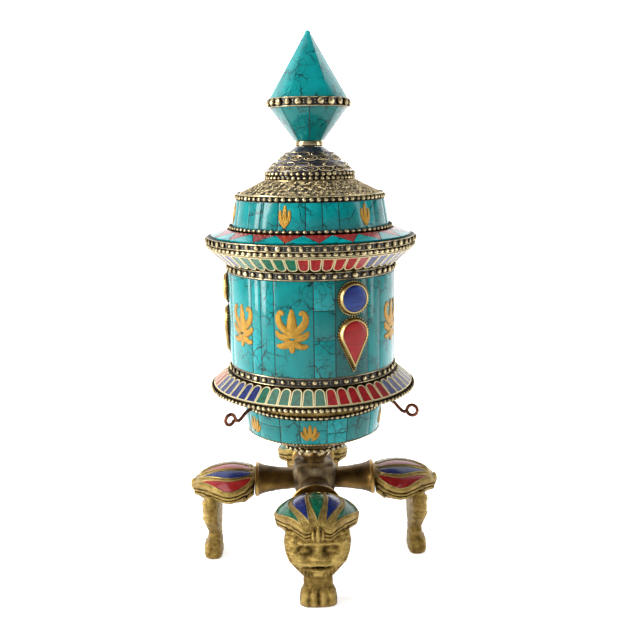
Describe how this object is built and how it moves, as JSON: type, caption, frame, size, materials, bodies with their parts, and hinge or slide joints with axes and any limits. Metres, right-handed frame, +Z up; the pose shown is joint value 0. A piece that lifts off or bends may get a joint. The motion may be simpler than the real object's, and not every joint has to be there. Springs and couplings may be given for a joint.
{
  "type": "prayer wheel",
  "caption": "Tabletop prayer wheel: a stone-inlaid brass drum with a lift-off lid and finial, turning on a spindle above a cross of masked legs.",
  "frame": {"origin": "on the table, on the spindle's axis, midway between the four paws", "axes": "+Z up the spindle's axis; one leg points along each of -Y (front), +X (right), +Y (back) and -X (left)"},
  "size_m": [0.1186, 0.1186, 0.24],
  "materials": {
    "aged_brass": "cast, patinated",
    "polished_brass": "turned, polished",
    "steel_spindle": "drawn",
    "brass_sheet": "spun, patinated",
    "brass_beadwork": "soldered bead wire",
    "gold_filigree": "gilt wire on a black ground",
    "turquoise": "polished chips",
    "coral": "polished",
    "lapis": "polished",
    "malachite": "polished",
    "blue_enamel": "glossy",
    "copper_wire": "drawn, darkened",
    "printed_paper": "printed, rolled"
  },
  "bodies": {
    "base": {"cross_hub": "aged_brass", "spindle": "steel_spindle", "spindle_nut": "aged_brass", "bearing_bowl": "polished_brass", "thrust_washer": "polished_brass", "arm_front": "aged_brass", "arm_right": "aged_brass", "arm_back": "aged_brass", "arm_left": "aged_brass", "leg_front": "aged_brass", "leg_right": "aged_brass", "leg_back": "aged_brass", "leg_left": "aged_brass", "shell_stripes_coral": "coral", "shell_stripes_lapis": "lapis", "shell_stripes_malachite": "malachite"},
    "drum": {"drum_cup": "brass_sheet", "cup_stones": "turquoise", "cup_ornaments": "brass_beadwork", "cup_foot_beads": "brass_beadwork", "cup_rim_beads": "brass_beadwork", "lower_bush": "polished_brass", "lower_flange": "brass_sheet", "lower_petals_malachite": "malachite", "lower_petals_coral": "coral", "lower_petals_lapis": "lapis", "lower_rim_beads": "brass_beadwork", "barrel_tube": "brass_sheet", "barrel_stones": "turquoise", "barrel_top_beads": "brass_beadwork", "barrel_bottom_beads": "brass_beadwork", "barrel_ornaments": "brass_beadwork", "round_bezels": "brass_beadwork", "round_cabochons": "lapis", "drop_bezels": "brass_beadwork", "drop_cabochons": "coral", "hanging_eyelets": "copper_wire", "mantra_scroll": "printed_paper"},
    "lid": {"cap_beads": "brass_beadwork", "cap_dome": "blue_enamel", "finial_beads": "brass_beadwork", "finial_core": "brass_sheet", "finial_lower_stones": "turquoise", "finial_upper_stones": "turquoise", "flange_inner_beads": "brass_beadwork", "flange_rim_beads": "brass_beadwork", "flange_triangles_coral": "coral", "flange_triangles_turquoise": "turquoise", "flange_under_beads": "brass_beadwork", "lid_edge_beads": "brass_beadwork", "lid_ornaments": "brass_beadwork", "lid_shell": "brass_sheet", "lid_stones": "turquoise", "neck_ring": "polished_brass", "shoulder_filigree": "gold_filigree", "top_bush": "polished_brass", "upper_flange": "brass_sheet", "upper_petals_coral": "coral", "upper_petals_lapis": "lapis", "upper_petals_malachite": "malachite"}
  },
  "joints": [
    {"name": "drum_spin", "type": "hinge", "parent": "base", "child": "drum", "pos_m": [0, 0, 0.0605], "axis": [0, 0, 1], "continuous": true},
    {"name": "lid_lift", "type": "slide", "parent": "drum", "child": "lid", "axis": [0, 0, 1], "range_m": [0, 0.08]}
  ]
}
